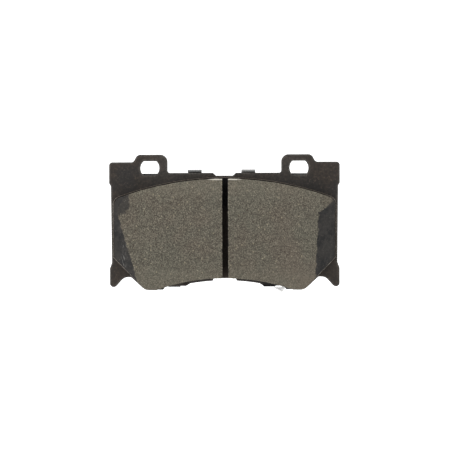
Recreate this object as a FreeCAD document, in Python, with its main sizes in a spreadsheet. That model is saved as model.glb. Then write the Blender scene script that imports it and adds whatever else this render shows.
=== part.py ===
import FreeCAD, Part
import math
import os

import Sketcher
from FreeCAD import Vector

# Front disc-brake pad for a fixed caliper with two guide pins.
# X runs along the pad, +Z points away from the wheel's axle, the friction faces look along -Y.
# The origin is midway between the two guide-pin holes, on the back of the steel plate.

DIMENSIONS = [
    # lining, measured from the wheel's axle
    ("axle_drop", 181.0, "guide-pin line down to the wheel's axle"),
    ("lining_outer_radius", 174.6, "top edge of the friction face"),
    ("lining_height", 56.5, "friction face from its top edge to its bottom edge"),
    ("lining_side_gap", 3.2, "friction face short of the plate's shoulder, each side"),
    ("lining_corner_rise", 12.1, "lower corner cut starts this far above the bottom edge"),
    ("lining_corner_run", 9.5, "width of the lower corner cut"),
    ("lining_corner_fall", 9.9, "height of the lower corner cut"),
    ("lining_shoulder_radius", 5.0, "upper outer corners of the lining"),
    ("lining_lobe_inset", 0.1, "lining's lobe above the plate's lobe"),
    ("lining_lobe_shift", 0.45, "lining's lobe corner further in than the plate's"),
    ("lobe_radius", 5.0, "rounding of the lobes' outer lower corner"),
    ("underlayer_flange", 0.8, "underlayer stands out past the friction blocks"),
    ("underlayer_thickness", 1.4, ""),
    ("friction_thickness", 8.6, ""),
    ("bond_thickness", 0.1, "adhesive film"),
    ("slot_width", 3.2, "slot between the friction blocks"),
    ("slot_offset", 0.3, "slot's middle from the pad's middle"),
    ("key_hole_diameter", 10.0, "plate holes that the underlayer fills"),
    ("key_hole_inner", 14.0, "inner key holes from the middle"),
    ("key_hole_outer", 42.0, "outer key holes from the middle"),
    ("key_hole_rise", 29.9, "key holes above the lining's bottom edge"),
    # ramps ground off the blocks' outer ends
    ("ramp_slope", 33.0, "degrees between a ramp and the friction face"),
    ("left_ramp_gap", 6.9, "left ramp's upper end on the face, in from the plate's side"),
    ("left_ramp_rise", 33.6, "the same point above the lining's bottom edge"),
    ("left_ramp_lean", 16.4, "degrees that the left ramp's edge leans from upright"),
    ("left_top_ramp_lean", -23.1, "degrees, short upper ramp on the left"),
    ("left_top_ramp_gap", 10.6, ""),
    ("left_top_ramp_rise", 48.3, ""),
    ("right_ramp_gap", 13.4, "right ramp's upper end on the face, in from the plate's side"),
    ("right_ramp_rise", 36.4, ""),
    ("right_ramp_lean", -3.1, "degrees that the right ramp's edge leans from upright"),
    ("right_top_ramp_gap", 6.0, "right ramp's slanting upper limit"),
    ("right_top_ramp_rise", 43.2, ""),
    ("right_top_ramp_lean", -51.0, "degrees"),
    # steel plate
    ("plate_width", 132.0, "over the shoulders"),
    ("plate_thickness", 6.0, ""),
    ("front_edge_break", 0.3, "bevel round the plate's front face"),
    ("small_radius", 0.5, "corners with no size of their own"),
    ("pin_spacing", 85.5, "between the guide-pin holes"),
    ("pin_hole_radius", 5.5, "round sides of a guide-pin hole"),
    ("pin_hole_height", 8.2, "between a guide-pin hole's flats"),
    ("pin_hole_corner_radius", 1.2, ""),
    ("ear_top", 7.7, "top of the ears"),
    ("ear_inner_wall", 10.1, "pin hole's middle to the ear's inner side"),
    ("ear_outer_top", 7.0, "pin hole's middle to the ear's outer upper corner"),
    ("ear_outer_foot", 9.4, "pin hole's middle to the ear's outer foot"),
    ("ear_inner_radius", 4.0, ""),
    ("ear_outer_radius", 2.9, ""),
    ("ear_foot_radius", 1.6, ""),
    ("ear_heel_radius", 2.0, ""),
    ("shoulder_top", 3.4, ""),
    ("shoulder_radius", 2.0, ""),
    ("land_height", 12.0, "shoulder top to the abutment land's lower end"),
    ("land_step", 1.0, "abutment land stands out from the plate's side"),
    ("land_step_height", 1.7, ""),
    ("side_draft", 0.5, "plate's side leans in over its height"),
    ("top_edge", -2.8, "plate's top edge between the ears"),
    ("top_recess_depth", 1.6, "shallow recess in the top edge"),
    ("top_recess_half", 4.8, ""),
    ("top_recess_slope", 1.8, "run of the recess's slanting ends"),
    ("toe_top_rise", 5.5, "toe's upper corner above the lining's bottom edge"),
    ("toe_step_height", 3.4, ""),
    ("toe_side_gap", 0.3, "toe short of the shoulder"),
    ("toe_tip_radius", 2.1, ""),
    ("toe_point_drop", 8.5, "unrounded toe point below the lining's bottom edge"),
    ("toe_width", 8.1, "toe's outer side to its root"),
    ("toe_root_radius", 5.5, ""),
    ("toe_root_rise", 0.5, "toe's root above the lining's bottom edge"),
    ("toe_root_length", 4.0, "straight stretch between toe and lobe"),
    ("lobe_drop", 1.33, "lobe below the lining's lower arc where it starts"),
    ("lobe_slope_run", 7.8, "run of the lobe's slanting outer side"),
    ("lobe_length", 10.6, "lobe's straight bottom"),
    ("notch_run", 2.8, "notch between lobe and hook flat"),
    ("notch_height", 4.0, ""),
    ("flat_lift", 2.1, "hook flat above the lobe's lowest edge"),
    ("flat_length", 10.3, "hook flat for the shim's lower tabs"),
    ("flat_step_run", 2.3, "slant between hook flat and lower arc"),
    ("lower_arc_gap", 1.5, "plate's lower arc below the lining's"),
    ("low_recess_half", 6.0, "recess at the middle of the lower edge"),
    ("low_recess_slope", 0.9, ""),
    ("low_recess_rise", 0.3, "recess above the lining's bottom edge"),
    # clip-on shim pack
    ("shim_clearance", 0.05, "running gap between plate and shim pack"),
    ("rubber_thickness", 0.15, ""),
    ("core_thickness", 0.5, ""),
    ("cover_thickness", 0.4, ""),
    ("rubber_inset", 0.4, "rubber layers short of the core's edge"),
    ("shim_top", -3.9, "core's straight upper edge"),
    ("cover_rise", 0.95, "cover's upper edge above the core's, seen through the pin holes"),
    ("shim_top_gap", 15.5, "end of the upper edge, in from the plate's side"),
    ("shim_side_gap", 7.5, "shim's side, in from the plate's side"),
    ("shim_corner_drop", 9.0, "height of the cut upper corners"),
    ("shim_side_rise", 18.9, "straight sides end above the lining's bottom edge"),
    ("shim_foot_reach", 13.5, "lower corner beyond the lower tab"),
    ("shim_foot_rise", 2.5, "lower edge above the lining's bottom edge"),
    ("shim_dip_half", 9.0, "dip that clears the plate's top recess"),
    ("shim_dip_depth", 2.2, ""),
    ("shim_corner_radius", 2.5, ""),
    ("shim_arch_gap", 0.5, "shim's lower middle above the lining's bottom edge"),
    ("tab_relief", 2.0, "slots beside the lower tabs reach above the hook flat"),
    ("top_tab_centre", 15.4, "upper tabs from the shim's middle"),
    ("top_tab_width", 8.0, ""),
    ("top_tab_rise", 2.2, "upper tab's highest point above the plate's top edge"),
    ("top_tab_slope", 1.15, "how far the upper tab falls towards its tip"),
    ("top_tab_reach", 5.2, "upper tab forward of the plate's back"),
    ("low_tab_width", 6.9, ""),
    ("low_tab_reach", 4.6, "lower tab forward of the plate's back"),
    ("bend_radius", 0.25, "inside of the shims' bends"),
    ("window_length", 15.0, "slots in the cover shim over each piston"),
    ("window_width", 3.4, ""),
    ("window_corner_radius", 1.2, ""),
    ("window_pitch", 9.0, "slots above and below the piston's middle"),
    ("piston_centre", 29.0, "piston from the middle"),
    ("piston_rise", 28.9, "piston above the lining's bottom edge"),
    # wear indicator
    ("strip_thickness", 0.8, ""),
    ("strip_gap", 0.3, "strip's upright side beyond the hook flat, clear of the sliding tab"),
    ("strip_length", 11.9, "strip's base along X"),
    ("strip_height", 6.3, "strip's base along Z"),
    ("strip_rise", 1.6, "strip's top above the lining's bottom edge"),
    ("foot_left_run", 4.2, "foot's upper left corner short of the hook flat's end"),
    ("foot_left_rise", 0.55, "foot's upper left corner above the lobe's bottom"),
    ("foot_tip_run", 0.3, "foot's lowest corner beyond the hook flat's end"),
    ("foot_tip_drop", 2.0, "foot's lowest corner below the lobe"),
    ("foot_right_run", 3.6, "foot's right side where it passes the lobe"),
    ("foot_right_rise", 1.8, ""),
    ("foot_head_gap", 0.5, "foot below the sliding tab"),
    ("foot_reach", 8.6, "foot's blade forward of the plate's back"),
    ("strip_corner_radius", 1.6, ""),
    ("strip_bend_radius", 0.6, "outside of the bend at the foot"),
    ("rivet_run", 7.8, "rivet beyond the hook flat's end"),
    ("rivet_drop", 1.5, "rivet below the lining's bottom edge"),
    ("rivet_radius", 1.5, ""),
    ("rivet_depth", 4.4, "shank in the plate"),
    ("rivet_head_radius", 2.6, ""),
    ("rivet_head_height", 1.2, ""),
    ("rivet_head_rounding", 0.95, ""),
]


class Size:
    """A number together with the spreadsheet expression that gives it."""

    def __init__(self, value, text):
        self.value = value
        self.text = text

    def __add__(self, other):
        other = as_size(other)
        return Size(self.value + other.value, f"({self.text} + {other.text})")

    def __sub__(self, other):
        other = as_size(other)
        return Size(self.value - other.value, f"({self.text} - {other.text})")

    def __mul__(self, other):
        other = as_size(other)
        return Size(self.value * other.value, f"({self.text} * {other.text})")

    def __truediv__(self, other):
        other = as_size(other)
        return Size(self.value / other.value, f"({self.text} / {other.text})")

    def __neg__(self):
        return Size(-self.value, f"(0 - {self.text})")


def as_size(number):
    return number if isinstance(number, Size) else Size(float(number), f"({float(number)})")


def root(size):
    return Size(math.sqrt(size.value), f"sqrt({size.text})")


doc = FreeCAD.newDocument("brake_pad")
sheet = doc.addObject("Spreadsheet::Sheet", "sizes")
dims = {}
for row, (name, value, note) in enumerate(DIMENSIONS, start=1):
    sheet.set(f"A{row}", name)
    sheet.set(f"B{row}", str(value))
    sheet.set(f"C{row}", note)
    sheet.setAlias(f"B{row}", name)
    dims[name] = Size(value, f"sizes.{name}")
doc.recompute()

# ---------------------------------------------------------------- drawing helpers


def bind(target, path, size):
    target.setExpression(path, as_size(size).text)


def new_body(label):
    body = doc.addObject("PartDesign::Body", label)
    body.Label = label
    return body


def new_sketch(body, plane_role, offset=0):
    """A sketch on one of the body's own planes, moved along the plane's normal by offset."""
    sketch = body.newObject("Sketcher::SketchObject", f"{body.Name}_sketch")
    plane = next(f for f in body.Origin.OriginFeatures if f.Role == plane_role)
    sketch.AttachmentSupport = [(plane, "")]
    sketch.MapMode = "FlatFace"
    bind(sketch, "AttachmentOffset.Base.z", offset)
    return sketch


def pin_point(sketch, geometry, end, x, y):
    """Dimension one point of the sketch from the origin; None leaves that direction free."""
    for kind, size in (("DistanceX", x), ("DistanceY", y)):
        if size is not None:
            size = as_size(size)
            rule = Sketcher.Constraint(kind, -1, 1, geometry, end, size.value)
            bind(sketch, f"Constraints[{sketch.addConstraint(rule)}]", size)


def add_arc(sketch, centre, radius, start, finish):
    """The shorter arc from start to finish; returns which of its ends are start and finish."""
    turn = (start - centre).cross(finish - centre).z
    first, last = (start, finish) if turn > 0 else (finish, start)
    angles = [math.atan2(p.y - centre.y, p.x - centre.x) for p in (first, last)]
    if angles[1] < angles[0]:
        angles[1] += 2 * math.pi
    circle = Part.Circle(centre, Vector(0, 0, 1), radius)
    sketch.addGeometry(Part.ArcOfCircle(circle, *angles), False)
    return (1, 2) if turn > 0 else (2, 1)


def hold_radius(sketch, geometry, radius):
    rule = Sketcher.Constraint("Radius", geometry, radius.value)
    bind(sketch, f"Constraints[{sketch.addConstraint(rule)}]", radius)


def draw_outline(sketch, corners, arcs=None):
    """Closed outline through corners (x, y, held), where held names the dimensioned directions.

    arcs gives, for a corner's number, the (centre x, centre y, radius) of the arc that starts there."""
    arcs = arcs or {}
    points = [Vector(as_size(c[0]).value, as_size(c[1]).value, 0) for c in corners]
    first = sketch.GeometryCount
    count = len(points)
    ends = []
    for i, start in enumerate(points):
        finish = points[(i + 1) % count]
        if i in arcs:
            x, y, radius = arcs[i]
            centre = Vector(as_size(x).value, as_size(y).value, 0)
            ends.append(add_arc(sketch, centre, radius.value, start, finish))
        else:
            sketch.addGeometry(Part.LineSegment(start, finish), False)
            ends.append((1, 2))
    for i in range(count):
        follower = (i + 1) % count
        rule = Sketcher.Constraint("Coincident", first + i, ends[i][1], first + follower, ends[follower][0])
        sketch.addConstraint(rule)
    for i, (x, y, radius) in arcs.items():
        pin_point(sketch, first + i, 3, x, y)
        hold_radius(sketch, first + i, radius)
    for i, corner in enumerate(corners):
        held = corner[2] if len(corner) > 2 else "xy"
        x = corner[0] if "x" in held else None
        y = corner[1] if "y" in held else None
        pin_point(sketch, first + i, ends[i][0], x, y)


def draw_circle(sketch, x, y, radius):
    circle = Part.Circle(Vector(x.value, y.value, 0), Vector(0, 0, 1), radius.value)
    number = sketch.addGeometry(circle, False)
    pin_point(sketch, number, 3, x, y)
    hold_radius(sketch, number, radius)


def draw_rectangle(sketch, x_low, x_high, y_low, y_high):
    draw_outline(sketch, [(x_low, y_low), (x_high, y_low), (x_high, y_high), (x_low, y_high)])


def draw_flatted_circle(sketch, x, y, radius, height):
    """A circle cut off by two level flats, the given height apart."""
    half = height / 2
    reach = root(radius * radius - half * half)
    corners = [(x + reach, y - half, "y"), (x + reach, y + half, "y"),
               (x - reach, y + half, "y"), (x - reach, y - half, "y")]
    draw_outline(sketch, corners, {0: (x, y, radius), 2: (x, y, radius)})


def add_feature(body, kind, sketch, length, reverse=False, symmetric=False):
    """Pad or Pocket of a sketch; a Pocket has to take volume away."""
    before = body.Shape.Volume if body.Tip else 0
    feature = body.newObject(f"PartDesign::{kind}", f"{body.Name}_{kind.lower()}")
    feature.Profile = sketch
    feature.Reversed = reverse
    if symmetric:
        feature.SideType = "Symmetric"
    bind(feature, "Length", length)
    doc.recompute()
    if kind == "Pocket" and not body.Shape.Volume < before - 1e-6:
        raise RuntimeError(f"{feature.Name} cuts nothing")
    return feature


def edges_where(shape, test):
    return [f"Edge{i}" for i, edge in enumerate(shape.Edges, start=1) if test(edge)]


def dress_edges(body, kind, measure, size, test):
    """Fillet or Chamfer the body's edges that pass the test, all to one size."""
    names = edges_where(body.Tip.Shape, test)
    if not names:
        raise RuntimeError(f"{body.Name}: no edge for a {kind}")
    base = body.Tip
    feature = body.newObject(f"PartDesign::{kind}", f"{body.Name}_{kind.lower()}")
    feature.Base = (base, names)
    bind(feature, measure, size)
    doc.recompute()
    if not feature.isValid():
        raise RuntimeError(f"{feature.Name} failed")


def round_edges(body, radius, test):
    dress_edges(body, "Fillet", "Radius", radius, test)


def runs_along(axis, edge):
    """True for a straight edge parallel to the named axis."""
    if edge.Curve.TypeId != "Part::GeomLine":
        return False
    return abs(getattr(edge.tangentAt(edge.FirstParameter), axis)) > 0.9999


def near_corner(points):
    """A test for edges along Y that stand at one of the (x, z) points."""
    spots = [(as_size(x).value, as_size(z).value) for x, z in points]

    def test(edge):
        at = edge.CenterOfMass
        return runs_along("y", edge) and any(math.hypot(at.x - x, at.z - z) < 0.02 for x, z in spots)

    return test


def mirrored(points):
    return [(as_size(p[0]) * side, p[1]) for p in points for side in (1, -1)]


def both_sides(half, arcs):
    """Full outline from its right half, listed from the top middle round to the bottom middle."""
    left = [(-as_size(c[0]),) + tuple(c[1:]) for c in reversed(half)]
    count = len(half)
    all_arcs = dict(arcs)
    for start, arc in arcs.items():
        all_arcs[2 * count - 2 - start] = arc
    return half + left, all_arcs


# ---------------------------------------------------------------- shared places

half_plate = dims["plate_width"] / 2
axle = -dims["axle_drop"]
lining_inner_radius = dims["lining_outer_radius"] - dims["lining_height"]
lining_bottom = axle + lining_inner_radius
toe_side = half_plate - dims["toe_side_gap"]
toe_root_x = toe_side - dims["toe_width"]
lobe_outer_top = toe_root_x - dims["toe_root_length"]
lobe_outer_low = lobe_outer_top - dims["lobe_slope_run"]
lobe_inner = lobe_outer_low - dims["lobe_length"]
flat_end = lobe_inner - dims["notch_run"]
flat_start = flat_end - dims["flat_length"]


def on_arc(radius, x):
    """Height of a point at x on a circle about the wheel's axle."""
    return axle + root(radius * radius - as_size(x) * x)


lobe_bottom = on_arc(lining_inner_radius, lobe_inner) - dims["lobe_drop"]
hook_flat = lobe_bottom + dims["flat_lift"]
pin_x = dims["pin_spacing"] / 2
plate_front = dims["plate_thickness"]
bond_front = plate_front + dims["bond_thickness"]
underlayer_front = bond_front + dims["underlayer_thickness"]
lining_front = underlayer_front + dims["friction_thickness"]
core_back = dims["shim_clearance"] + dims["rubber_thickness"]
rear_rubber_back = core_back + dims["core_thickness"]
cover_back = rear_rubber_back + dims["rubber_thickness"]
tab_play = (dims["flat_length"] - dims["low_tab_width"]) / 2
shim_shift = -(tab_play - dims["shim_clearance"])
low_tab_x = (flat_start + flat_end) / 2
key_hole_z = lining_bottom + dims["key_hole_rise"]
piston_z = lining_bottom + dims["piston_rise"]
rivet_x = flat_end + dims["rivet_run"]
rivet_z = lining_bottom - dims["rivet_drop"]
low_tab_bottom = hook_flat - dims["shim_clearance"] - dims["core_thickness"]


def key_holes():
    return [(dims[name] * side, key_hole_z)
            for name in ("key_hole_inner", "key_hole_outer") for side in (-1, 1)]


# ---------------------------------------------------------------- backing plate


def backing_plate():
    body = new_body("backing_plate")
    recess_floor = dims["top_edge"] - dims["top_recess_depth"]
    ear_inner = pin_x - dims["ear_inner_wall"]
    land_end = dims["shoulder_top"] - dims["land_height"]
    side_top = half_plate - dims["land_step"]
    toe_top = lining_bottom + dims["toe_top_rise"]
    lower_arc = lining_inner_radius - dims["lower_arc_gap"]
    step_x = flat_start - dims["flat_step_run"]
    recess_x = dims["low_recess_half"] + dims["low_recess_slope"]
    root_z = lining_bottom + dims["toe_root_rise"]
    recess_corner = (dims["top_recess_half"] + dims["top_recess_slope"], dims["top_edge"])
    ear_foot = (ear_inner, dims["top_edge"])
    ear_inner_top = (ear_inner, dims["ear_top"])
    ear_outer_top = (pin_x + dims["ear_outer_top"], dims["ear_top"])
    ear_heel = (pin_x + dims["ear_outer_foot"], dims["shoulder_top"])
    shoulder = (half_plate, dims["shoulder_top"])
    toe_point = (toe_side, lining_bottom - dims["toe_point_drop"])
    toe_root = (toe_root_x, root_z)
    lobe_top = (lobe_outer_top, root_z)
    lobe_corner = (lobe_outer_low, lobe_bottom)
    lobe_heel = (lobe_inner, lobe_bottom)
    notch = (flat_end, lobe_bottom + dims["notch_height"])
    flat_outer = (flat_end, hook_flat)
    flat_inner = (flat_start, hook_flat)
    half = [
        (dims["top_recess_half"], recess_floor), recess_corner, ear_foot, ear_inner_top, ear_outer_top,
        ear_heel, shoulder, (half_plate, land_end), (side_top, land_end - dims["land_step_height"]),
        (side_top - dims["side_draft"], toe_top + dims["toe_step_height"]), (toe_side, toe_top),
        toe_point, toe_root, lobe_top, lobe_corner, lobe_heel, notch, flat_outer, flat_inner,
        (step_x, on_arc(lower_arc, step_x), "x"), (recess_x, on_arc(lower_arc, recess_x), "x"),
        (dims["low_recess_half"], lining_bottom + dims["low_recess_rise"]),
    ]
    corners, arcs = both_sides(half, {len(half) - 3: (0, axle, lower_arc)})
    sketch = new_sketch(body, "XZ_Plane")
    draw_outline(sketch, corners, arcs)
    add_feature(body, "Pad", sketch, dims["plate_thickness"])

    for radius, corner in (
        ("ear_foot_radius", ear_foot),
        ("ear_inner_radius", ear_inner_top),
        ("ear_outer_radius", ear_outer_top),
        ("ear_heel_radius", ear_heel),
        ("shoulder_radius", shoulder),
        ("toe_tip_radius", toe_point),
        ("toe_root_radius", toe_root),
        ("lobe_radius", lobe_corner),
        ("small_radius", lobe_top),
        ("small_radius", lobe_heel),
        ("small_radius", notch),
        ("small_radius", flat_outer),
        ("small_radius", flat_inner),
        ("small_radius", recess_corner),
    ):
        round_edges(body, dims[radius], near_corner(mirrored([corner])))

    holes = new_sketch(body, "XZ_Plane")
    for side in (-1, 1):
        draw_flatted_circle(holes, pin_x * side, as_size(0), dims["pin_hole_radius"], dims["pin_hole_height"])
    for x, z in key_holes():
        draw_circle(holes, x, z, dims["key_hole_diameter"] / 2)
    add_feature(body, "Pocket", holes, dims["plate_thickness"] * 2, reverse=True)
    flat_half = dims["pin_hole_height"] / 2
    flat_reach = root(dims["pin_hole_radius"] * dims["pin_hole_radius"] - flat_half * flat_half)
    for level in (flat_half, -flat_half):
        ends = [(pin_x + flat_reach, level), (pin_x - flat_reach, level)]
        round_edges(body, dims["pin_hole_corner_radius"], near_corner(mirrored(ends)))

    rivet_hole = new_sketch(body, "XZ_Plane")
    draw_circle(rivet_hole, rivet_x, rivet_z, dims["rivet_radius"])
    add_feature(body, "Pocket", rivet_hole, dims["rivet_depth"], reverse=True)

    def on_front_rim(edge):
        return edge.BoundBox.YMax < -plate_front.value + 0.001 and not edge.isClosed()

    dress_edges(body, "Chamfer", "Size", dims["front_edge_break"], on_front_rim)
    return body


# ---------------------------------------------------------------- lining


def lining_half(inner_x, grow, bottom):
    """Right half of the lining's outline from x = inner_x out; grow widens its upper arc and sides."""
    outer_radius = dims["lining_outer_radius"] + grow
    side = half_plate - dims["lining_side_gap"] + grow
    cut_top = lining_bottom + dims["lining_corner_rise"]
    cut_x = side - dims["lining_corner_run"]
    cut_z = cut_top - dims["lining_corner_fall"]
    shoulder = (side, on_arc(outer_radius, side))
    lobe = (lobe_outer_low - dims["lining_lobe_shift"], bottom)
    drop = bottom - axle
    meet = root(lining_inner_radius * lining_inner_radius - drop * drop)
    half = [
        (inner_x, on_arc(outer_radius, inner_x), "x"), shoulder + ("x",),
        (side, cut_top), (cut_x, cut_z), lobe, (meet, bottom, "y"),
        (inner_x, on_arc(lining_inner_radius, inner_x), "x"),
    ]
    rounded = (("lobe_radius", lobe), ("lining_shoulder_radius", shoulder))
    return half, {0: (0, axle, outer_radius), 5: (0, axle, lining_inner_radius)}, rounded


def lining_sheet(label, start, thickness):
    """A layer of the lining that runs under both friction blocks."""
    body = new_body(label)
    bottom = lobe_bottom + dims["lining_lobe_inset"]
    half, arcs, rounded = lining_half(as_size(0), dims["underlayer_flange"], bottom)
    inner = half[1:-1]
    left = [(-as_size(c[0]),) + tuple(c[1:]) for c in reversed(inner)]
    corners = inner + left
    count = len(inner)
    sketch = new_sketch(body, "XZ_Plane", start)
    draw_outline(sketch, corners, {2 * count - 1: arcs[0], count - 1: arcs[5]})
    add_feature(body, "Pad", sketch, thickness)
    for radius, corner in rounded:
        round_edges(body, dims[radius], near_corner(mirrored([corner])))
    return body


def bond_coat():
    body = lining_sheet("bond_coat", plate_front, dims["bond_thickness"])
    holes = new_sketch(body, "XZ_Plane", plate_front)
    for x, z in key_holes():
        draw_circle(holes, x, z, dims["key_hole_diameter"] / 2)
    add_feature(body, "Pocket", holes, dims["bond_thickness"] * 2, reverse=True)
    return body


def underlayer():
    body = lining_sheet("underlayer", bond_front, dims["underlayer_thickness"])
    plugs = new_sketch(body, "XZ_Plane", 0)
    for x, z in key_holes():
        draw_circle(plugs, x, z, dims["key_hole_diameter"] / 2)
    add_feature(body, "Pad", plugs, bond_front)
    return body


def ramp_cutter(name, side):
    """A box whose inner face is a ramp: it starts on the friction face along a leaning edge.

    side is +1 where the ramp falls towards +X and -1 where it falls towards -X."""
    x = (half_plate - dims[f"{name}_gap"]) * side
    z = lining_bottom + dims[f"{name}_rise"]
    lean = -dims[f"{name}_lean"]
    reach = dims["plate_width"]
    box = doc.addObject("Part::Box", name)
    bind(box, "Length", reach)
    bind(box, "Width", reach)
    bind(box, "Height", reach * 2)
    turn = dims["ramp_slope"] * side
    shift = -reach if side < 0 else as_size(0)
    start = f"vector({shift.text}; 0 - {reach.text}; 0 - {reach.text})"
    centred = f"placement({start}; rotation(vector(0; 0; 1); 0))"
    leaning = f"rotation(vector(0; 1; 0); {lean.text}) * rotation(vector(0; 0; 1); {turn.text})"
    corner = f"vector({x.text}; 0 - {lining_front.text}; {z.text})"
    box.setExpression("Placement", f"placement({corner}; {leaning}) * {centred}")
    return box


def friction_block(label, side, cutter):
    raw = new_body(f"{label}_moulding")
    middle = dims["slot_offset"] * side
    inner_x = dims["slot_width"] / 2 + middle
    bottom = lobe_bottom + dims["lining_lobe_inset"]
    half, arcs, rounded = lining_half(inner_x, as_size(0), bottom)
    corners = [(as_size(c[0]) * side,) + tuple(c[1:]) for c in half]
    sketch = new_sketch(raw, "XZ_Plane", underlayer_front)
    draw_outline(sketch, corners, arcs)
    add_feature(raw, "Pad", sketch, dims["friction_thickness"])
    for radius, (x, z) in rounded:
        round_edges(raw, dims[radius], near_corner([(x * side, z)]))
    block = doc.addObject("Part::Cut", label)
    block.Base = raw
    block.Tool = cutter
    block.Label = label
    return block


def friction_block_left():
    cutter = doc.addObject("Part::MultiFuse", "left_ramps")
    cutter.Shapes = [ramp_cutter("left_ramp", -1), ramp_cutter("left_top_ramp", -1)]
    return friction_block("friction_block_left", -1, cutter)


def friction_block_right():
    cutter = doc.addObject("Part::MultiCommon", "right_ramps")
    cutter.Shapes = [ramp_cutter("right_ramp", 1), ramp_cutter("right_top_ramp", 1)]
    return friction_block("friction_block_right", 1, cutter)


# ---------------------------------------------------------------- shim pack


def shim_sheet(label, back, thickness, inset, rise=0):
    """One flat layer of the shim pack; rise lifts its upper edge above the core's."""
    body = new_body(label)
    bind(body, "Placement.Base.x", shim_shift)
    top = dims["shim_top"] - inset + rise
    floor = top - dims["shim_dip_depth"]
    dip = dims["shim_dip_half"] + inset
    corner_z = top - dims["shim_corner_drop"]
    side = half_plate - dims["shim_side_gap"] - inset
    foot_z = lining_bottom + dims["shim_foot_rise"] + inset
    low = hook_flat + dims["tab_relief"] + inset
    tab_in = low_tab_x - dims["low_tab_width"] / 2 + inset
    tab_out = low_tab_x + dims["low_tab_width"] / 2 - inset
    half = [
        (dip, floor), (dip + dims["top_recess_slope"], top), (half_plate - dims["shim_top_gap"] - inset, top),
        (side, corner_z), (side, lining_bottom + dims["shim_side_rise"]),
        (low_tab_x + dims["low_tab_width"] / 2 + dims["shim_foot_reach"], foot_z),
        (tab_out, foot_z), (tab_out, low), (tab_in, low),
        (tab_in, on_arc(lining_inner_radius, tab_in) + inset),
        (dims["low_recess_half"], lining_bottom + dims["shim_arch_gap"] + inset),
    ]
    corners, arcs = both_sides(half, {})
    sketch = new_sketch(body, "XZ_Plane", -as_size(back))
    draw_outline(sketch, corners, arcs)
    add_feature(body, "Pad", sketch, thickness)
    rounded = [half[2], half[3], half[4], half[5]]
    round_edges(body, dims["shim_corner_radius"], near_corner(mirrored(rounded)))
    return body, low


def bent_tab(body, centre, width, profile):
    """A folded tab: its side view (y, z) drawn on the YZ plane and padded across its width."""
    for side in (-1, 1):
        sketch = new_sketch(body, "YZ_Plane", centre * side)
        draw_outline(sketch, profile)
        add_feature(body, "Pad", sketch, width, symmetric=True)


def round_bend(body, radius, y, z):
    """Round the folded edge that runs along X at (y, z)."""
    spot = (as_size(y).value, as_size(z).value)

    def test(edge):
        at = edge.CenterOfMass
        return runs_along("x", edge) and math.hypot(at.y - spot[0], at.z - spot[1]) < 0.02

    round_edges(body, radius, test)


def shim_core():
    back = rear_rubber_back
    body, low = shim_sheet("shim_core", back, dims["core_thickness"], as_size(0))
    front = back - dims["core_thickness"]
    top = hook_flat - dims["shim_clearance"]
    tip = -dims["low_tab_reach"]
    profile = [(front, low), (front, top), (tip, top),
               (tip, low_tab_bottom), (back, low_tab_bottom), (back, low)]
    bent_tab(body, low_tab_x, dims["low_tab_width"], profile)
    round_bend(body, dims["bend_radius"] + dims["core_thickness"], back, low_tab_bottom)
    round_bend(body, dims["bend_radius"], front, top)
    return body


def cover_shim():
    thickness = dims["cover_thickness"]
    back = cover_back + thickness
    body, _ = shim_sheet("cover_shim", back, thickness, as_size(0), dims["cover_rise"])
    tab_top = dims["top_edge"] + dims["top_tab_rise"]
    tip_top = tab_top - dims["top_tab_slope"]
    root_z = dims["shim_top"] - dims["cover_thickness"]
    reach = -dims["top_tab_reach"]
    profile = [(cover_back, root_z), (cover_back, tab_top - thickness), (reach, tip_top - thickness),
               (reach, tip_top), (back, tab_top), (back, root_z)]
    bent_tab(body, dims["top_tab_centre"], dims["top_tab_width"], profile)
    round_bend(body, dims["bend_radius"] + thickness, back, tab_top)
    round_bend(body, dims["bend_radius"], cover_back, tab_top - thickness)
    windows = new_sketch(body, "XZ_Plane", -back)
    window_corners = []
    for side in (-1, 1):
        for level in (-1, 1):
            x = dims["piston_centre"] * side
            z = piston_z + dims["window_pitch"] * level
            left, right = x - dims["window_length"] / 2, x + dims["window_length"] / 2
            low, high = z - dims["window_width"] / 2, z + dims["window_width"] / 2
            draw_rectangle(windows, left, right, low, high)
            window_corners += [(left, low), (right, low), (left, high), (right, high)]
    add_feature(body, "Pocket", windows, thickness * 2, reverse=True)
    round_edges(body, dims["window_corner_radius"], near_corner(window_corners))
    return body


def rubber_layers():
    inset = dims["rubber_inset"]
    front, _ = shim_sheet("shim_front_rubber", core_back, dims["rubber_thickness"], inset)
    rear, _ = shim_sheet("shim_rear_rubber", cover_back, dims["rubber_thickness"], inset)
    return [front, rear]


# ---------------------------------------------------------------- wear indicator


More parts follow.
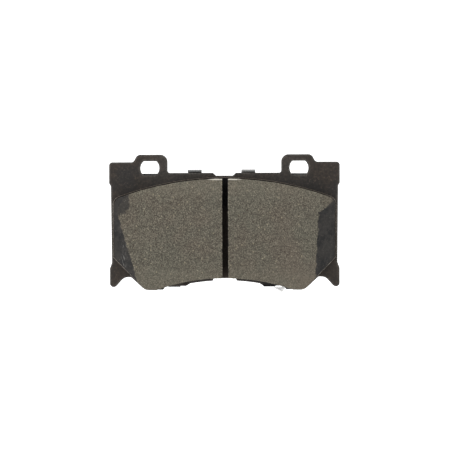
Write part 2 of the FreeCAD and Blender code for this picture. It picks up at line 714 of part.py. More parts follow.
def wear_indicator():
    body = new_body("wear_indicator")
    thickness = dims["strip_thickness"]
    left = flat_end + dims["strip_gap"]
    right = left + dims["strip_length"]
    top = lining_bottom + dims["strip_rise"]
    floor = top - dims["strip_height"]
    head = low_tab_bottom - dims["foot_head_gap"]
    foot_left = (flat_end - dims["foot_left_run"], lobe_bottom + dims["foot_left_rise"])
    foot_tip = (flat_end + dims["foot_tip_run"], lobe_bottom - dims["foot_tip_drop"])
    foot_right = (flat_end + dims["foot_right_run"], lobe_bottom + dims["foot_right_rise"])
    blank = new_sketch(body, "XZ_Plane", -thickness)
    draw_outline(blank, [
        (left, top), (right, top), (right, floor), foot_right, foot_tip, foot_left,
        (foot_left[0] + thickness, head), (left, head),
    ])
    add_feature(body, "Pad", blank, thickness)
    run_x = foot_tip[0] - foot_left[0]
    run_z = foot_tip[1] - foot_left[1]
    length = root(run_x * run_x + run_z * run_z)
    step_x = -run_z / length * thickness
    step_z = run_x / length * thickness
    blade = new_sketch(body, "XZ_Plane", -thickness)
    draw_outline(blade, [
        foot_left, foot_tip, (foot_tip[0] + step_x, foot_tip[1] + step_z),
        (foot_left[0] + step_x, foot_left[1] + step_z),
    ])
    add_feature(body, "Pad", blade, dims["foot_reach"] + thickness)
    fold_x = (foot_left[0] + foot_tip[0]).value / 2
    fold_z = (foot_left[1] + foot_tip[1]).value / 2

    def on_fold(edge):
        at = edge.CenterOfMass
        close = math.hypot(at.x - fold_x, at.z - fold_z) < thickness.value / 2
        return close and abs(at.y - thickness.value) < 0.02

    round_edges(body, dims["strip_bend_radius"], on_fold)
    corners = [(left, top), (right, top), (right, floor)]
    round_edges(body, dims["strip_corner_radius"], near_corner(corners))
    round_edges(body, dims["small_radius"], near_corner([(left, head)]))
    hole = new_sketch(body, "XZ_Plane", -thickness)
    draw_circle(hole, rivet_x, rivet_z, dims["rivet_radius"])
    add_feature(body, "Pocket", hole, thickness * 2, reverse=True)
    return body


def wear_indicator_rivet():
    body = new_body("wear_indicator_rivet")
    seat = dims["strip_thickness"]
    head_top = seat + dims["rivet_head_height"]
    for radius, start, length in (
        (dims["rivet_head_radius"], head_top, dims["rivet_head_height"]),
        (dims["rivet_radius"], seat, seat + dims["rivet_depth"]),
    ):
        sketch = new_sketch(body, "XZ_Plane", -start)
        draw_circle(sketch, rivet_x, rivet_z, radius)
        add_feature(body, "Pad", sketch, length)

    def on_crown(edge):
        return abs(edge.BoundBox.YMin - head_top.value) < 0.001

    round_edges(body, dims["rivet_head_rounding"], on_crown)
    return body


# ---------------------------------------------------------------- build, check and write

pieces = [
    backing_plate(), bond_coat(), underlayer(), friction_block_left(), friction_block_right(),
    wear_indicator(), wear_indicator_rivet(), shim_core(), cover_shim(), *rubber_layers(),
]
doc.recompute()

for item in doc.Objects:
    if "Invalid" in item.State or "Error" in item.State:
        raise RuntimeError(f"{item.Name} did not rebuild: {item.State}")
for piece in pieces:
    if piece.Shape.isNull() or not piece.Shape.isValid() or not piece.Shape.Solids:
        raise RuntimeError(f"{piece.Label} is not a valid solid")

os.makedirs("parts", exist_ok=True)
for piece in pieces:
    piece.Shape.exportStep(f"parts/{piece.Label}.step")
    box = piece.Shape.BoundBox
    spans = ", ".join(f"{low:.2f}..{high:.2f}" for low, high in (
        (box.XMin, box.XMax), (box.YMin, box.YMax), (box.ZMin, box.ZMax)))
    print(f"{piece.Label}: {len(piece.Shape.Solids)} solid, {piece.Shape.Volume:.1f} mm3, {spans}")
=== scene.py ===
import math

import bpy
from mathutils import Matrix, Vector, noise


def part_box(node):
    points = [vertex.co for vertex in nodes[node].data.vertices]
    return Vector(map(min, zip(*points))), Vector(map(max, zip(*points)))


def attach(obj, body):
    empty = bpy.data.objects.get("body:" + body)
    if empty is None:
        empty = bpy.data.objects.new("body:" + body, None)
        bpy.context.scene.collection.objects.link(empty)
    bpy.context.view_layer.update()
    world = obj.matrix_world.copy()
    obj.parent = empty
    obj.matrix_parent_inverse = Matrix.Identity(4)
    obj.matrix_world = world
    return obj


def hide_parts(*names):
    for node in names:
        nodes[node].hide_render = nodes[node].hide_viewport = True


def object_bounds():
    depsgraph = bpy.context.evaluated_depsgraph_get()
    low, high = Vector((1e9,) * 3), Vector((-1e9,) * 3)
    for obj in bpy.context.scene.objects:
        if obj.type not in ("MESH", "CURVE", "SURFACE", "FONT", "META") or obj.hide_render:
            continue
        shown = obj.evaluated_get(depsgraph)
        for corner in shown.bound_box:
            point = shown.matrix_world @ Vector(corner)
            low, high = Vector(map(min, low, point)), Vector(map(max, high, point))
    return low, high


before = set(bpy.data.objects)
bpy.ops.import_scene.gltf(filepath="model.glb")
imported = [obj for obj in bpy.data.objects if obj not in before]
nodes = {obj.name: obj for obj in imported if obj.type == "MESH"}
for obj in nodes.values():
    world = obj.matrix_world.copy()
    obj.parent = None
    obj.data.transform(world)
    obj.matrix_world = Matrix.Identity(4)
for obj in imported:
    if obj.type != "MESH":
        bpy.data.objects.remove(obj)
cad_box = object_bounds()

MM = 0.001
WHOLE_PAD = "pad"   # the body that every new piece rides on

# places that the looks depend on, in metres from the origin between the guide pins
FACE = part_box("friction_block_left")[0].y
PLATE_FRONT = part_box("bond_coat")[1].y
UNDERLAYER_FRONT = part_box("friction_block_left")[1].y
SLOT_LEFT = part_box("friction_block_left")[1].x
SLOT_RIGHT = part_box("friction_block_right")[0].x
SLOT_MIDDLE = (SLOT_LEFT + SLOT_RIGHT) / 2
LINING_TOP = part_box("friction_block_left")[1].z
COVER_MARGIN = -3.6 * MM
LOWEST = cad_box[0].z


# ---------------------------------------------------------------- camera, light and floor

def set_camera():
    """A long lens square on to the friction face, level with the pad's middle."""
    data = bpy.data.cameras.new("camera")
    data.lens = 139.9
    data.clip_start = 0.05
    camera = bpy.data.objects.new("camera", data)
    camera.location = (0.23 * MM, PLATE_FRONT - 1.0, -32.7 * MM)
    camera.rotation_euler = (math.radians(90), math.radians(0.2), 0)
    bpy.context.scene.collection.objects.link(camera)
    bpy.context.scene.camera = camera


def soft_box(name, place, aim, size, watts):
    """A square soft box that hangs at place and points at aim."""
    data = bpy.data.lights.new(name, "AREA")
    data.shape = "SQUARE"
    data.size = size
    data.energy = watts
    lamp = bpy.data.objects.new(name, data)
    lamp.location = place
    lamp.rotation_euler = (Vector(aim) - Vector(place)).to_track_quat("-Z", "Y").to_euler()
    bpy.context.scene.collection.objects.link(lamp)


def set_light():
    """Bright even room light, with one box above and one in front on the left for shape."""
    world = bpy.data.worlds.new("studio")
    world.use_nodes = True
    room = world.node_tree.nodes["Background"]
    room.inputs["Color"].default_value = (1.0, 1.0, 1.0, 1.0)
    room.inputs["Strength"].default_value = 0.36
    bpy.context.scene.world = world
    bpy.context.scene.view_settings.view_transform = "Standard"
    middle = (0, 0, -33 * MM)
    soft_box("top box", (0.05, -0.30, 0.95), middle, 1.2, 5.5)
    soft_box("front box", (-0.6, -0.9, 0.45), middle, 0.9, 6.0)


# ---------------------------------------------------------------- shader arithmetic

class Value:
    """A number that varies over a surface; arithmetic on it adds Math nodes."""

    def __init__(self, finish, socket):
        self.finish = finish
        self.socket = socket

    def math(self, operation, first, second):
        return self.finish.node("ShaderNodeMath", {"operation": operation}, {0: first, 1: second})

    def __add__(self, other):
        return self.math("ADD", self, other)

    def __sub__(self, other):
        return self.math("SUBTRACT", self, other)

    def __rsub__(self, other):
        return self.math("SUBTRACT", other, self)

    def __mul__(self, other):
        return self.math("MULTIPLY", self, other)

    def __abs__(self):
        return self.math("ABSOLUTE", self, 0.0)

    __radd__ = __add__
    __rmul__ = __mul__

    def most(self, other):
        return self.math("MAXIMUM", self, other)

    def between(self, low, high):
        """0 at low and 1 at high, with a smooth rise; low may be the larger."""
        return self.finish.node(
            "ShaderNodeMapRange", {"interpolation_type": "SMOOTHSTEP"},
            {"Value": self, "From Min": low, "From Max": high})


class Finish:
    """One material: a Principled surface and the nodes that vary it."""

    def __init__(self, name):
        self.material = bpy.data.materials.new(name)
        self.material.use_nodes = True
        self.tree = self.material.node_tree
        self.surface = self.tree.nodes["Principled BSDF"]
        self.place = self.node("ShaderNodeTexCoord", output="Object")
        self.x, self.y, self.z = (
            self.node("ShaderNodeSeparateXYZ", sockets={0: self.place}, output=axis) for axis in "XYZ")

    def node(self, kind, settings=None, sockets=None, output=0):
        """A node of that kind, its settings made first, then its sockets filled or linked."""
        made = self.tree.nodes.new(kind)
        for name, setting in (settings or {}).items():
            setattr(made, name, setting)
        for name, value in (sockets or {}).items():
            self.fill(made.inputs[name], value)
        return Value(self, made.outputs[output])

    def fill(self, socket, value):
        if isinstance(value, Value):
            value = value.socket
        if isinstance(value, bpy.types.NodeSocket):
            self.tree.links.new(value, socket)
        elif socket.type == "RGBA":
            socket.default_value = (*value, 1.0)
        else:
            socket.default_value = value

    def stretched(self, along_x, along_y, along_z):
        """Object coordinates scaled per axis, for streaks and brush lines."""
        return self.node("ShaderNodeMapping", sockets={
            "Vector": self.place, "Scale": (along_x, along_y, along_z)})

    def cloud(self, scale, detail=2.0, roughness=0.5, where=None):
        """Soft noise from 0 to 1; scale is features per metre."""
        return self.node("ShaderNodeTexNoise", sockets={
            "Vector": where or self.place, "Scale": scale, "Detail": detail, "Roughness": roughness})

    def grains(self, scale, output="Distance"):
        """Cells of crushed filler, as the distance to each cell's middle or its random colour."""
        return self.node(
            "ShaderNodeTexVoronoi", sockets={"Vector": self.place, "Scale": scale}, output=output)

    def mix(self, share, first, second):
        """first where share is 0, second where it is 1."""
        made = self.tree.nodes.new("ShaderNodeMix")
        made.data_type = "RGBA"
        self.fill(made.inputs[0], share)
        self.fill(made.inputs[6], first)
        self.fill(made.inputs[7], second)
        return Value(self, made.outputs[2])

    def bump(self, height, depth, strength=1.0, under=None):
        """A surface relief; depth is in metres."""
        sockets = {"Height": height, "Distance": depth, "Strength": strength}
        if under:
            sockets["Normal"] = under
        return self.node("ShaderNodeBump", sockets=sockets)

    def apply(self, **sockets):
        """Fills the surface's own sockets; base_color stands for Base Color and so on."""
        for name, value in sockets.items():
            self.fill(self.surface.inputs[name.replace("_", " ").title().replace("Ior", "IOR")], value)
        return self.material


# ---------------------------------------------------------------- finishes

def lining_finish():
    """Moulded friction mix: a ground, speckled face; darker smooth skin on ramps and sides."""
    f = Finish("ground_friction_mix")
    broad = f.cloud(38.0, 3.0)
    patches = f.cloud(140.0, 3.0, 0.6)
    blotches = f.cloud(430.0, 2.0, 0.6)
    speckle = f.cloud(1350.0, 2.0, 0.75)
    fine = f.cloud(3400.0, 1.0, 0.6)
    salt = speckle * 0.5 + fine * 0.5
    olive = (0.094, 0.088, 0.068)
    brown = (0.097, 0.082, 0.063)
    dark = (0.022, 0.019, 0.016)
    pale = (0.250, 0.228, 0.176)
    ground = f.mix((broad * 0.6 + patches * 0.4).between(0.36, 0.64), olive, brown)
    ground = f.mix(blotches.between(0.56, 0.40) * 0.28, ground, (0.040, 0.034, 0.028))
    ground = f.mix(salt.between(0.54, 0.33) * 0.8, ground, dark)
    ground = f.mix(salt.between(0.50, 0.67) * 0.8, ground, pale)
    worn = f.x.between(20.0 * MM, 50.0 * MM) * f.z.between(-22.0 * MM, -32.0 * MM) * broad.between(0.35, 0.60)
    ground = f.mix(worn * 0.35, ground, (0.118, 0.093, 0.074))
    crumbs = f.grains(620.0).between(0.34, 0.20)
    lot = f.node("ShaderNodeSeparateXYZ", sockets={0: f.grains(620.0, output="Color")}, output="X")
    ground = f.mix(crumbs * lot.between(0.80, 0.84) * 0.75, ground, (0.040, 0.030, 0.024))
    ground = f.mix(crumbs * lot.between(0.10, 0.07) * 0.55, ground, (0.270, 0.235, 0.160))
    fleck = f.grains(700.0).between(0.30, 0.14) * f.cloud(300.0, 1.0).between(0.62, 0.70)
    ground = f.mix(fleck * 0.5, ground, (0.40, 0.36, 0.25))
    margin = f.z.between(LINING_TOP - 14.0 * MM, LINING_TOP - 5.0 * MM)
    margin = margin.most(f.z.between(-53.0 * MM, -63.0 * MM))
    ground = f.mix(margin * 0.16, ground, (0.185, 0.170, 0.130))
    from_slot = abs(f.x - SLOT_MIDDLE)
    crest = from_slot.between(2.35 * MM, 1.75 * MM) * speckle.between(0.50, 0.60)
    ground = f.mix(crest * 0.55, ground, pale)
    # moulded skin, smoother and darker
    skin = f.mix(patches.between(0.35, 0.65), (0.018, 0.018, 0.018), (0.033, 0.031, 0.029))
    skin = f.mix(blotches.between(0.46, 0.62) * 0.4, skin, (0.044, 0.041, 0.038))
    skin = f.mix(speckle.between(0.60, 0.72) * 0.6, skin, (0.11, 0.10, 0.09))
    streak_lines = f.cloud(1.0, 2.0, 0.7, f.stretched(1900.0, 1900.0, 130.0)).between(0.54, 0.66)
    streak_zone = f.x.between(-59.5 * MM, -57.5 * MM) * f.x.between(-54.5 * MM, -56.5 * MM)
    streak_zone = streak_zone * f.z.between(-40 * MM, -46 * MM)
    skin = f.mix(streak_lines * streak_zone * 0.7, skin, (0.17, 0.165, 0.155))
    # painted shade on the slot walls behind the face, fading out toward the slot's lower end
    slot_painted_shade = from_slot.between(2.4 * MM, 1.9 * MM) * f.y.between(FACE + 0.2 * MM, FACE + 1.0 * MM)
    skin = f.mix(slot_painted_shade * f.z.between(-62.0 * MM, -50.0 * MM) * 0.6, skin, (0.012, 0.010, 0.009))
    by_the_ramps = abs(f.x).between(45.0 * MM, 50.0 * MM)
    edge_wander = (f.cloud(360.0, 4.0, 0.7) - 0.62) * by_the_ramps * (2.6 * MM)
    ground_share = (f.y + edge_wander).between(FACE + 0.34 * MM, FACE + 0.06 * MM)
    unground = (f.x + edge_wander).between(-54.0 * MM, -54.8 * MM)
    unground = unground * (f.z - f.x * 0.5 + edge_wander * 3.0).between(1.2 * MM, 3.4 * MM)
    ground_share = ground_share * (1 - unground * 0.85)
    ground_share = ground_share * (f.x + edge_wander).between(61.6 * MM, 60.0 * MM)
    colour = f.mix(ground_share, skin, ground)
    # pale painted highlight on the face's top rim beside the slot, standing for light caught by the rounded
    # edge
    rim = f.z.between(LINING_TOP - 1.0 * MM, LINING_TOP - 0.55 * MM)
    near_slot = from_slot.between(11.0 * MM, 6.0 * MM)
    on_rim = f.y.between(FACE + 0.9 * MM, FACE + 0.3 * MM)
    rim_painted_highlight = rim * near_slot * on_rim * f.cloud(700.0, 2.0).between(0.30, 0.46)
    colour = f.mix(rim_painted_highlight * 0.8, colour, (0.60, 0.57, 0.50))
    relief = f.bump(speckle * 0.6 + fine * 0.4, 0.10 * MM, 0.55)
    roughness = 0.93 - ground_share * 0.06 - fleck * 0.25
    return f.apply(base_color=colour, roughness=roughness, specular_ior_level=0.2, normal=relief)


def plate_finish():
    """Black-brown powder coat over blanked steel; worn rims with a painted highlight, striated sides, a
    painted shadow on the flat below the lining and a lighter top middle.
    """
    f = Finish("powder_coated_plate")
    rim = f.node("ShaderNodeAttribute", {"attribute_name": "rim"}, output="Fac")
    broad = f.cloud(55.0, 3.0)
    mottle = f.cloud(900.0, 3.0, 0.65)
    peel = f.cloud(2600.0, 2.0)
    coat = f.mix(broad.between(0.38, 0.62), (0.022, 0.0195, 0.018), (0.030, 0.023, 0.018))
    # the coat is lighter towards the top middle of the plate
    lighter_top_middle = abs(f.x).between(56.0 * MM, 30.0 * MM) * f.z.between(-30.0 * MM, -10.0 * MM)
    coat = f.mix(lighter_top_middle * 0.4, coat, (0.060, 0.052, 0.044))
    coat = f.mix(mottle.between(0.55, 0.38) * 0.5, coat, (0.011, 0.010, 0.009))
    coat = f.mix(mottle.between(0.56, 0.72) * 0.6, coat, (0.074, 0.056, 0.042))
    striae = f.cloud(1.0, 2.0, 0.6, f.stretched(2400.0, 160.0, 2400.0))
    side = f.y.between(PLATE_FRONT + 0.1 * MM, PLATE_FRONT + 0.5 * MM)
    coat = f.mix(side * striae.between(0.45, 0.7) * 0.5, coat, (0.065, 0.058, 0.050))
    # near-black painted shadow on the flat below the lining, where the lining shades it
    hook_flat_painted_shadow = f.z.between(-66.2 * MM, -66.8 * MM) * abs(f.x - 24.5 * MM).between(6.0 * MM, 4.5 * MM)
    coat = f.mix(hook_flat_painted_shadow * 0.95, coat, (0.002, 0.0015, 0.0015))
    # the rim is painted lighter: partly worn coat, partly a painted highlight where the rounded edge catches
    # the light
    worn_and_highlit_rim = rim * (1 - side) * (1 - hook_flat_painted_shadow) * mottle.between(0.40, 0.60)
    coat = f.mix(worn_and_highlit_rim * 0.5 + rim * (1 - side) * (1 - hook_flat_painted_shadow) * 0.3, coat, (0.085, 0.077, 0.069))
    relief = f.bump(peel * 0.7 + mottle * 0.3, 0.05 * MM, 0.5)
    relief = f.bump(striae * side, 0.06 * MM, 0.5, relief)
    roughness = 0.52 + mottle * 0.18 - worn_and_highlit_rim * 0.12
    return f.apply(base_color=coat, roughness=roughness, specular_ior_level=0.22, normal=relief)


def underlayer_finish():
    """Dark brown moulding under the friction mix, with short fibres; black painted shade deep in the slot,
    lighter toward its lower end, and a painted shadow along the top ledge.
    """
    f = Finish("brown_underlayer")
    fibre = f.cloud(1.0, 3.0, 0.7, f.stretched(420.0, 2600.0, 2600.0))
    mottle = f.cloud(1100.0, 3.0, 0.6)
    colour = f.mix(mottle.between(0.4, 0.62), (0.018, 0.014, 0.011), (0.034, 0.026, 0.020))
    colour = f.mix(fibre.between(0.6, 0.75) * 0.5, colour, (0.080, 0.064, 0.048))
    slot = abs(f.x - SLOT_MIDDLE).between(2.6 * MM, 1.7 * MM)
    # painted shade deep in the slot
    slot_painted_shade = slot * f.z.between(-64.0 * MM, -52.0 * MM)
    # near-black painted shadow on the ledge along the top arc, under the friction's upper edge
    ledge_painted_shadow = f.z.between(-26.0 * MM, -20.0 * MM) * abs(f.x).between(61.5 * MM, 58.0 * MM)
    colour = f.mix(slot_painted_shade * 0.45, colour, (0.013, 0.010, 0.008))
    colour = f.mix(ledge_painted_shadow * 0.97, colour, (0.002, 0.0015, 0.0015))
    # painted light: the slot's shade eases toward its open lower end
    slot_foot_painted_light = slot * f.z.between(-54.0 * MM, -61.0 * MM)
    colour = f.mix(slot_foot_painted_light * 0.6, colour, (0.058, 0.045, 0.036))
    relief = f.bump(mottle * 0.6 + fibre * 0.4, 0.08 * MM, 0.6)
    return f.apply(base_color=colour, roughness=0.9 - fibre * 0.15, specular_ior_level=0.2, normal=relief)


def flash_finish():
    """Paler brown lip where the mix was squeezed out thin."""
    f = Finish("pale_brown_flash")
    mottle = f.cloud(900.0, 3.0, 0.6)
    gaps = f.cloud(170.0, 2.0)
    colour = f.mix(mottle.between(0.4, 0.62), (0.110, 0.098, 0.085), (0.230, 0.210, 0.185))
    colour = f.mix(gaps.between(0.55, 0.68) * 0.7, colour, (0.040, 0.036, 0.032))
    crest = f.z.between(-19.0 * MM, -15.0 * MM)
    colour = f.mix(crest * 0.75, colour, (0.085, 0.066, 0.050))
    return f.apply(base_color=colour, roughness=0.8 - mottle * 0.2, specular_ior_level=0.25,
                   normal=f.bump(mottle, 0.05 * MM, 0.5))


def bond_finish():
    """Cured phenolic adhesive, amber where it is thick."""
    f = Finish("phenolic_bond")
    runs = f.cloud(600.0, 3.0, 0.6)
    colour = f.mix(runs.between(0.35, 0.65), (0.060, 0.032, 0.016), (0.130, 0.075, 0.035))
    return f.apply(base_color=colour, roughness=0.42 + runs * 0.2, normal=f.bump(runs, 0.05 * MM, 0.5))


def cover_finish():
    """Stainless sheet, brushed along X, with handling marks; its upper margin and tabs are duller."""
    f = Finish("brushed_stainless_cover")
    brush = f.cloud(1.0, 3.0, 0.7, f.stretched(55.0, 3200.0, 3200.0))
    fine_brush = f.cloud(1.0, 2.0, 0.6, f.stretched(160.0, 9000.0, 9000.0))
    smudge = f.cloud(90.0, 4.0, 0.6)
    slant = f.node("ShaderNodeMapping", sockets={
        "Vector": f.place, "Rotation": (0, 0.6, 0), "Scale": (1500.0, 1500.0, 45.0)})
    scratch = f.cloud(1.0, 2.0, 0.5, slant).between(0.72, 0.78)
    lines = (brush * 0.6 + fine_brush * 0.4).between(0.35, 0.65)
    colour = f.mix(lines, (0.22, 0.22, 0.215), (0.36, 0.36, 0.355))
    colour = f.mix(smudge.between(0.5, 0.72) * 0.35, colour, (0.30, 0.27, 0.23))
    colour = f.mix(scratch * 0.3, colour, (0.62, 0.62, 0.61))
    margin = f.z.between(COVER_MARGIN - 0.5 * MM, COVER_MARGIN)
    tab_grey = f.mix(f.x.between(-5.0 * MM, 5.0 * MM), (0.112, 0.112, 0.110), (0.168, 0.168, 0.162))
    colour = f.mix(margin, colour, tab_grey)
    relief = f.bump(brush * 0.5 + fine_brush * 0.5 - scratch * 0.6, 0.02 * MM, 0.5)
    roughness = 0.26 + brush * 0.16 + smudge.between(0.45, 0.7) * 0.14 + margin * 0.25
    return f.apply(base_color=colour, metallic=1.0 - margin * 0.5, roughness=roughness, normal=relief)


def indicator_finish():
    """Zinc-plated spring steel: brushed grey behind the plate; the foot painted near-white with a faint glow,
    as a painted highlight.
    """
    f = Finish("bright_spring_steel")
    rim = f.node("ShaderNodeAttribute", {"attribute_name": "rim"}, output="Fac")
    brush = f.cloud(1.0, 3.0, 0.7, f.stretched(160.0, 2600.0, 2600.0))
    bloom = f.cloud(900.0, 3.0)
    foot = f.z.between(-67.0 * MM, -68.2 * MM)
    zinc = f.mix(brush.between(0.35, 0.65), (0.46, 0.46, 0.45), (0.66, 0.66, 0.65))
    zinc = f.mix(bloom.between(0.50, 0.70) * 0.5, zinc, (0.34, 0.34, 0.32))
    # painted highlight: the foot's near-white colour stands for light caught by the foot
    foot_painted_highlight = f.mix(brush.between(0.35, 0.65), (0.88, 0.88, 0.87), (0.97, 0.97, 0.96))
    colour = f.mix(rim * 0.1, f.mix(foot, zinc, foot_painted_highlight), (0.30, 0.30, 0.29))
    # painted glow on the foot, a faint emission standing for its highlight
    foot_painted_glow = f.mix(foot * (0.75 + brush * 0.25), (0.0, 0.0, 0.0), (0.26, 0.26, 0.26))
    return f.apply(base_color=colour, metallic=0.85 - foot * 0.85, roughness=0.32 + brush * 0.2,
                   emission_color=foot_painted_glow, emission_strength=1.0,
                   normal=f.bump(brush, 0.02 * MM, 0.5))


def rivet_finish():
    """Zinc plating, a little clouded, with fine hammer dimples on the head."""
    f = Finish("zinc_plated_rivet")
    bloom = f.cloud(1400.0, 3.0, 0.6)
    dimples = f.grains(1500.0)
    colour = f.mix(bloom.between(0.35, 0.65), (0.50, 0.50, 0.47), (0.72, 0.72, 0.70))
    relief = f.bump(dimples, 0.05 * MM, 0.4)
    return f.apply(base_color=colour, metallic=1.0, roughness=0.3 + bloom * 0.25, normal=relief)


def core_finish():
    """Black baked coat on the shim's core sheet, dulled where hands have touched it."""
    f = Finish("black_coated_core")
    haze = f.cloud(120.0, 3.0)
    stipple = f.cloud(2400.0, 2.0, 0.6)
    colour = f.mix(haze.between(0.4, 0.65), (0.006, 0.006, 0.006), (0.016, 0.015, 0.014))
    colour = f.mix(stipple.between(0.60, 0.72) * 0.3, colour, (0.05, 0.046, 0.04))
    return f.apply(base_color=colour, roughness=0.55 + haze * 0.25, specular_ior_level=0.15,
                   normal=f.bump(stipple, 0.03 * MM, 0.5))


def rubber_finish():
    """Thin damping rubber, matt black with grey bloom."""
    f = Finish("damping_rubber")
    bloom = f.cloud(260.0, 4.0, 0.6)
    pores = f.grains(2600.0)
    colour = f.mix(bloom.between(0.5, 0.75) * 0.5, (0.014, 0.014, 0.014), (0.045, 0.044, 0.042))
    return f.apply(base_color=colour, roughness=0.85, normal=f.bump(pores, 0.03 * MM, 0.5))


def backdrop_finish():
    """White sweep, lit so that it stays clean under the pad."""
    f = Finish("white_sweep")
    weave = f.cloud(30.0, 2.0)
    colour = f.mix(weave, (0.56, 0.56, 0.56), (0.60, 0.60, 0.60))
    return f.apply(base_color=colour, roughness=0.9, emission_color=(1.0, 1.0, 1.0), emission_strength=0.92)


# ---------------------------------------------------------------- mesh work

def deselect_all():
    if bpy.context.mode != "OBJECT":
        bpy.ops.object.mode_set(mode="OBJECT")
    bpy.ops.object.select_all(action="DESELECT")


def make_active(piece):
    deselect_all()
    piece.select_set(True)
    bpy.context.view_layer.objects.active = piece


def copy_of(node, name):
    """A merged copy of a CAD node's mesh, ready to be worked on."""
    source = nodes[node]
    piece = bpy.data.objects.new(name, source.data.copy())
    piece.data.name = name
    piece.data.materials.clear()
    bpy.context.scene.collection.objects.link(piece)
    make_active(piece)
    if piece.data.has_custom_normals:
        bpy.ops.mesh.customdata_custom_splitnormals_clear()
    bpy.ops.object.mode_set(mode="EDIT")
    bpy.ops.mesh.select_all(action="SELECT")
    bpy.ops.mesh.remove_doubles(threshold=0.002 * MM)
    bpy.ops.mesh.select_all(action="DESELECT")
    bpy.ops.object.mode_set(mode="OBJECT")
    return piece


def use_modifier(piece, kind, **settings):
    """Adds a modifier with those settings and applies it."""
    make_active(piece)
    modifier = piece.modifiers.new(kind.lower(), kind)
    for name, value in settings.items():
        setattr(modifier, name, value)
    bpy.ops.object.modifier_apply(modifier=modifier.name)


def cloud_texture(name, size, depth):
    texture = bpy.data.textures.new(name, "CLOUDS")
    texture.noise_scale = size
    texture.noise_depth = depth
    return texture


def hand_over(piece, replaced, finish):
    """Gives a finished piece its material slot, hangs it on the pad's body and hides the CAD node that it
    stands for, if any.
    """
    piece.data.materials.clear()
    piece.data.materials.append(finish)
    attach(piece, WHOLE_PAD)
    if replaced:
        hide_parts(replaced)


def friction_piece(node, name, wall_x, finish):
    """A block of friction mix: cast texture all over, chipped slot edge, then the face ground flat."""
    piece = copy_of(node, name)
    use_modifier(piece, "REMESH", mode="VOXEL", voxel_size=0.35 * MM, adaptivity=0.0)
    use_modifier(piece, "SMOOTH", factor=0.5, iterations=2)
    grit = cloud_texture("grit", 1.1 * MM, 3)
    use_modifier(piece, "DISPLACE", texture=grit, texture_coords="LOCAL", mid_level=0.5, strength=0.17 * MM)
    lumps = cloud_texture("lumps", 5.0 * MM, 2)
    use_modifier(piece, "DISPLACE", texture=lumps, texture_coords="LOCAL", mid_level=0.5, strength=0.3 * MM)
    chip_edges(piece, wall_x)
    grind_face(piece)
    piece.data.shade_smooth()
    hand_over(piece, node, finish)


def chip_edges(piece, wall_x):
    """Small chips broken out of the face's edge along the slot."""
    for vertex in piece.data.vertices:
        p = vertex.co
        near_face = max(0.0, 1.0 - (p.y - FACE) / (1.2 * MM))
        near_wall = max(0.0, 1.0 - abs(p.x - wall_x) / (0.8 * MM))
        if near_face * near_wall > 0:
            chip = noise.noise(p * 900.0) + 0.5 * noise.noise(p * 2300.0)
            p.y += max(0.0, chip) * near_face * near_wall * 0.9 * MM


def grind_face(piece):
    """The block is cast a little proud; the grinder takes it down to one plane and leaves pits."""
    for vertex in piece.data.vertices:
        if vertex.co.y < FACE + 0.35 * MM:
            vertex.co.y = max(vertex.co.y - 0.2 * MM, FACE)


def rim_marked_copy(node, name, facing, width):
    """A merged copy whose faces that look along facing get a narrow band round their edge.
    The attribute rim is 1 outside the band, 0 inside it and falls off across it."""
    piece = copy_of(node, name)
    facing = Vector(facing)
    for polygon in piece.data.polygons:
        polygon.select = polygon.normal.dot(facing) > 0.999
    bpy.ops.object.mode_set(mode="EDIT")
    bpy.ops.mesh.select_mode(type="FACE")
    bpy.ops.mesh.inset(thickness=width, use_even_offset=True)
    bpy.ops.object.mode_set(mode="OBJECT")
    mark = piece.data.attributes.new("rim", "FLOAT", "POINT")
    inner = set()
    for polygon in piece.data.polygons:
        if polygon.select:
            inner.update(polygon.vertices)
    for index in range(len(piece.data.vertices)):
        mark.data[index].value = 0.0 if index in inner else 1.0
    make_active(piece)
    bpy.ops.object.shade_smooth_by_angle(angle=math.radians(35))
    return piece


def flash_bead():
    """The thin lip of adhesive and mix that the mould squeezes out round the underlayer's foot."""
    piece = copy_of("underlayer", "squeezed_out_flash")
    for polygon in piece.data.polygons:
        polygon.select = polygon.normal.y < -0.9 and polygon.center.y < UNDERLAYER_FRONT + 0.01 * MM
    bpy.ops.object.mode_set(mode="EDIT")
    bpy.ops.mesh.select_mode(type="FACE")
    bpy.ops.mesh.region_to_loop()
    bpy.ops.mesh.select_all(action="INVERT")
    bpy.ops.mesh.delete(type="EDGE")
    bpy.ops.object.mode_set(mode="OBJECT")
    bpy.ops.object.convert(target="CURVE")
    piece = bpy.context.object
    piece.data.bevel_depth = 0.2 * MM
    piece.data.bevel_resolution = 2
    bpy.ops.object.convert(target="MESH")
    piece = bpy.context.object
    for vertex in piece.data.vertices:
        p = vertex.co
        swell = noise.noise(p * 260.0) * 0.10 * MM
        vertex.co = p + Vector((swell, 0.1 * MM, swell))
    return piece


# ---------------------------------------------------------------- the scene

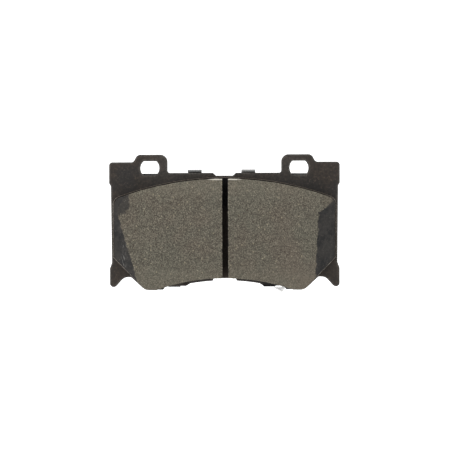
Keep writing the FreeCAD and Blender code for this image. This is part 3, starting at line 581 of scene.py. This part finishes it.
def build_floor():
    """A white sheet that runs level under the pad and curves up far behind it."""
    bpy.ops.mesh.primitive_plane_add(size=1.0, location=(0, 0, 0))
    floor = bpy.context.object
    floor.name = "sweep"
    floor.data.name = "sweep"
    bpy.ops.object.mode_set(mode="EDIT")
    bpy.ops.transform.resize(value=(6.0, 3.4, 1.0))
    bpy.ops.transform.translate(value=(0, -0.9, LOWEST))
    bpy.ops.mesh.select_mode(type="EDGE")
    bpy.ops.mesh.select_all(action="DESELECT")
    bpy.ops.object.mode_set(mode="OBJECT")
    back = max(v.co.y for v in floor.data.vertices)
    for edge in floor.data.edges:
        ends = [floor.data.vertices[i].co.y for i in edge.vertices]
        edge.select = min(ends) > back - MM
    bpy.ops.object.mode_set(mode="EDIT")
    bpy.ops.mesh.extrude_region_move(TRANSFORM_OT_translate={"value": (0, 0, 2.4)})
    bpy.ops.object.mode_set(mode="OBJECT")
    for edge in floor.data.edges:
        ends = [floor.data.vertices[i].co for i in edge.vertices]
        edge.select = all(e.y > back - MM and e.z < LOWEST + MM for e in ends)
    bpy.ops.object.mode_set(mode="EDIT")
    bpy.ops.mesh.bevel(offset=0.45, segments=12, affect="EDGES")
    bpy.ops.object.mode_set(mode="OBJECT")
    floor.data.shade_smooth()
    floor.data.materials.append(backdrop_finish())


def paint_node(node, material):
    data = nodes[node].data
    data.materials.clear()
    data.materials.append(material)


deselect_all()
set_camera()
set_light()
build_floor()

lining = lining_finish()
friction_piece("friction_block_left", "lining_left", SLOT_LEFT, lining)
friction_piece("friction_block_right", "lining_right", SLOT_RIGHT, lining)

plate = rim_marked_copy("backing_plate", "eared_plate", (0, -1, 0), 0.9 * MM)
hand_over(plate, "backing_plate", plate_finish())

hand_over(flash_bead(), None, flash_finish())

paint_node("underlayer", underlayer_finish())
paint_node("bond_coat", bond_finish())
paint_node("cover_shim", cover_finish())

indicator = rim_marked_copy("wear_indicator", "sprung_wear_indicator", (0, -1, 0), 0.12 * MM)
hand_over(indicator, "wear_indicator", indicator_finish())
paint_node("wear_indicator_rivet", rivet_finish())
paint_node("shim_core", core_finish())
rubber = rubber_finish()
paint_node("shim_front_rubber", rubber)
paint_node("shim_rear_rubber", rubber)

deselect_all()
